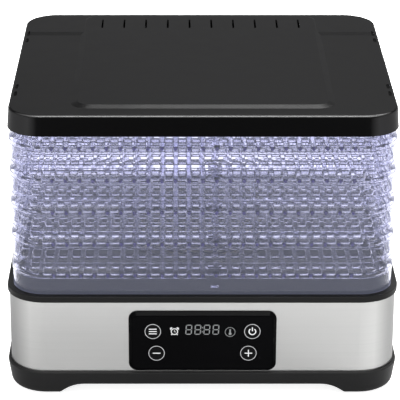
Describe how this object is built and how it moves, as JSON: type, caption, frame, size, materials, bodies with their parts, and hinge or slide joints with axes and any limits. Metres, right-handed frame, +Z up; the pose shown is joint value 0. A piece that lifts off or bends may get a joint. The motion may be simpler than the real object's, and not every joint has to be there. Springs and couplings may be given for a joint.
{
  "type": "food dehydrator",
  "caption": "Rectangular stacking food dehydrator: clear trays and a black vented lid over a brushed steel base with a push-button digital panel, fan and heater.",
  "frame": {"origin": "on the resting surface, under the middle of the outer box", "axes": "+Z up, -Y is the front with the control panel, +X to the viewer's right"},
  "size_m": [0.3426, 0.3116, 0.2596],
  "materials": {
    "tray_clear": "clear, faint blue-violet tint, polished",
    "lid_black": "satin moulded",
    "frame_black": "satin moulded",
    "housing_black": "satin moulded",
    "deck_black": "satin moulded",
    "guard_black": "satin moulded",
    "steel": "brushed along its length",
    "rubber": "matte",
    "zinc": "zinc plated",
    "panel_black": "polished",
    "lens_black": "high gloss",
    "button_black": "gloss with a pale printed ring",
    "display": "dark grey",
    "board_green": "solder mask",
    "ribbon_grey": "ribbed",
    "transformer_steel": "varnished laminations",
    "relay_blue": "moulded",
    "copper": "enamelled wire",
    "bronze": "sintered",
    "fan_plastic": "moulded",
    "mica": "mica sheet",
    "heater_wire": "oxidised wire"
  },
  "bodies": {
    "base": {"base_housing": "housing_black", "steel_band": "steel", "base_deck": "deck_black", "bottom_cover": "housing_black", "rubber_feet": "rubber", "cover_screws": "zinc", "deck_screws": "zinc", "cord_inlet_bush": "rubber", "panel_bezel": "panel_black", "panel_lens": "lens_black", "tact_switches": "housing_black", "display_module": "display", "control_board": "board_green", "ribbon_cable": "ribbon_grey", "power_board": "board_green", "transformer": "transformer_steel", "relay": "relay_blue", "terminal_block": "relay_blue", "board_screws": "zinc", "motor_winding": "copper", "motor_can": "zinc", "motor_end_cap": "zinc", "motor_bearings": "bronze", "motor_bracket": "zinc", "motor_screws": "zinc", "heater_frame": "mica", "heating_coil": "heater_wire", "fan_guard": "guard_black", "thermal_cutoff": "zinc", "temperature_sensor": "zinc"},
    "tray_1": {"tray_1_wall": "tray_clear", "tray_1_grid": "tray_clear"},
    "tray_2": {"tray_2_wall": "tray_clear", "tray_2_grid": "tray_clear"},
    "tray_3": {"tray_3_wall": "tray_clear", "tray_3_grid": "tray_clear"},
    "tray_4": {"tray_4_wall": "tray_clear", "tray_4_grid": "tray_clear"},
    "tray_5": {"tray_5_wall": "tray_clear", "tray_5_grid": "tray_clear"},
    "lid": {"lid_cover": "lid_black", "lid_inner_frame": "frame_black"},
    "fan": {"fan_impeller": "fan_plastic", "fan_shaft": "zinc", "motor_rotor": "transformer_steel"},
    "key_set": {"button_set": "button_black"},
    "key_minus": {"button_minus": "button_black"},
    "key_plus": {"button_plus": "button_black"},
    "key_power": {"button_power": "button_black"}
  },
  "joints": [
    {"name": "tray_1_lift", "type": "slide", "parent": "base", "child": "tray_1", "axis": [0, 0, 1], "range_m": [0, 0.05]},
    {"name": "tray_2_lift", "type": "slide", "parent": "tray_1", "child": "tray_2", "axis": [0, 0, 1], "range_m": [0, 0.05]},
    {"name": "tray_3_lift", "type": "slide", "parent": "tray_2", "child": "tray_3", "axis": [0, 0, 1], "range_m": [0, 0.05]},
    {"name": "tray_4_lift", "type": "slide", "parent": "tray_3", "child": "tray_4", "axis": [0, 0, 1], "range_m": [0, 0.05]},
    {"name": "tray_5_lift", "type": "slide", "parent": "tray_4", "child": "tray_5", "axis": [0, 0, 1], "range_m": [0, 0.05]},
    {"name": "lid_lift", "type": "slide", "parent": "tray_5", "child": "lid", "axis": [0, 0, 1], "range_m": [0, 0.08]},
    {"name": "fan_spin", "type": "hinge", "parent": "base", "child": "fan", "pos_m": [0, 0, 0.036], "axis": [0, 0, 1], "continuous": true},
    {"name": "set_press", "type": "slide", "parent": "base", "child": "key_set", "axis": [0, 1, 0], "range_m": [0, 0.0005], "stiffness_N_per_m": 600, "springref_m": -0.0005},
    {"name": "minus_press", "type": "slide", "parent": "base", "child": "key_minus", "axis": [0, 1, 0], "range_m": [0, 0.0005], "stiffness_N_per_m": 600, "springref_m": -0.0005},
    {"name": "plus_press", "type": "slide", "parent": "base", "child": "key_plus", "axis": [0, 1, 0], "range_m": [0, 0.0005], "stiffness_N_per_m": 600, "springref_m": -0.0005},
    {"name": "power_press", "type": "slide", "parent": "base", "child": "key_power", "axis": [0, 1, 0], "range_m": [0, 0.0005], "stiffness_N_per_m": 600, "springref_m": -0.0005}
  ]
}
